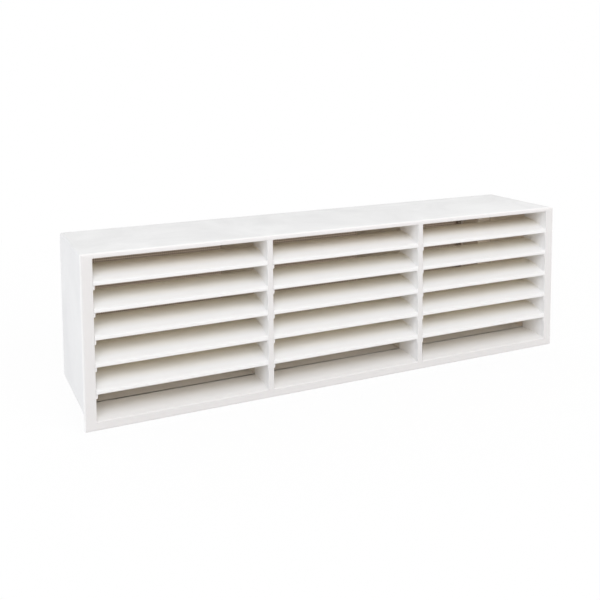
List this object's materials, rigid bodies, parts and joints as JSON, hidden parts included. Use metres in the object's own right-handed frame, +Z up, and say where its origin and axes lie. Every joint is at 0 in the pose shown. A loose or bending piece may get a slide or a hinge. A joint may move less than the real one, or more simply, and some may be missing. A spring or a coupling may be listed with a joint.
{
  "type": "air brick",
  "caption": "White plastic louvred air brick: a face with bays of crowned rain louvres, a box body with inner partitions and a rear spigot for a flat duct.",
  "frame": {"origin": "bottom centre of the whole box, at the level of the drip lip's edge", "axes": "+X along the face, the face looks towards -Y, +Z up"},
  "size_m": [0.215, 0.06, 0.065],
  "materials": {
    "white_moulding": "glossy moulded plastic",
    "dark_screen": "matt dark mesh"
  },
  "bodies": {
    "root": {"front_frame": "white_moulding", "sleeve": "white_moulding", "partition_left": "white_moulding", "partition_right": "white_moulding", "rear_spigot": "white_moulding", "screen_frame": "dark_screen", "insect_mesh": "dark_screen", "louvre_left_1": "white_moulding", "louvre_left_2": "white_moulding", "louvre_left_3": "white_moulding", "louvre_left_4": "white_moulding", "louvre_left_5": "white_moulding", "louvre_middle_1": "white_moulding", "louvre_middle_2": "white_moulding", "louvre_middle_3": "white_moulding", "louvre_middle_4": "white_moulding", "louvre_middle_5": "white_moulding", "louvre_right_1": "white_moulding", "louvre_right_2": "white_moulding", "louvre_right_3": "white_moulding", "louvre_right_4": "white_moulding", "louvre_right_5": "white_moulding"}
  },
  "joints": []
}
